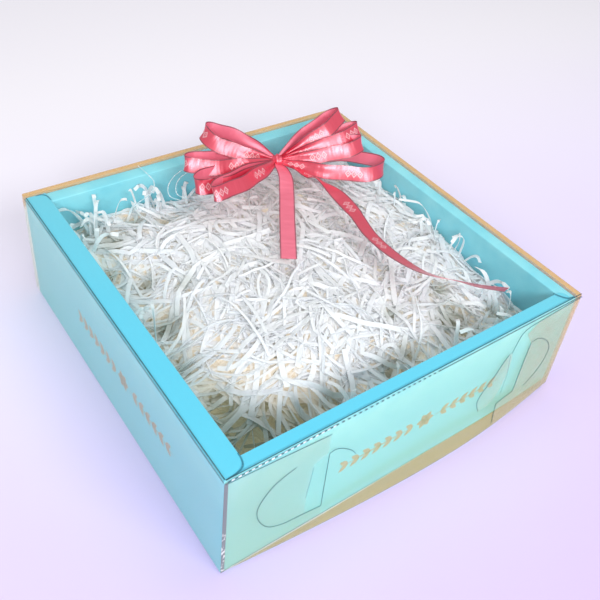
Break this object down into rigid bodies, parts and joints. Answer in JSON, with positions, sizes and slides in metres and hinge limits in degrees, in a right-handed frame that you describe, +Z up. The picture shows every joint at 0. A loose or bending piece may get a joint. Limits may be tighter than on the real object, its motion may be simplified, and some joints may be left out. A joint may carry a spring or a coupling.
{
  "type": "gift box with shredded paper filler",
  "caption": "Square turquoise carton tray filled with shredded paper, under a clear film cover with tongue locks and a looped satin ribbon bow.",
  "frame": {"origin": "centre of the underside of the carton's base, on the surface it rests on", "axes": "+Z up, -Y out of the front wall, +X to the right of it; the bow lies towards +Y"},
  "size_m": [0.3108, 0.3179, 0.1348],
  "materials": {
    "carton": "smooth coated folding carton board, turquoise, matt to satin",
    "shred": "white crinkled paper strips, slightly translucent, matt",
    "film": "clear, faintly warm plastic film, glossy",
    "ribbon": "coral pink satin ribbon with a soft lengthwise sheen"
  },
  "bodies": {
    "root": {"tray": "carton", "shred": "shred", "cover": "film", "bow": "ribbon"}
  },
  "joints": []
}
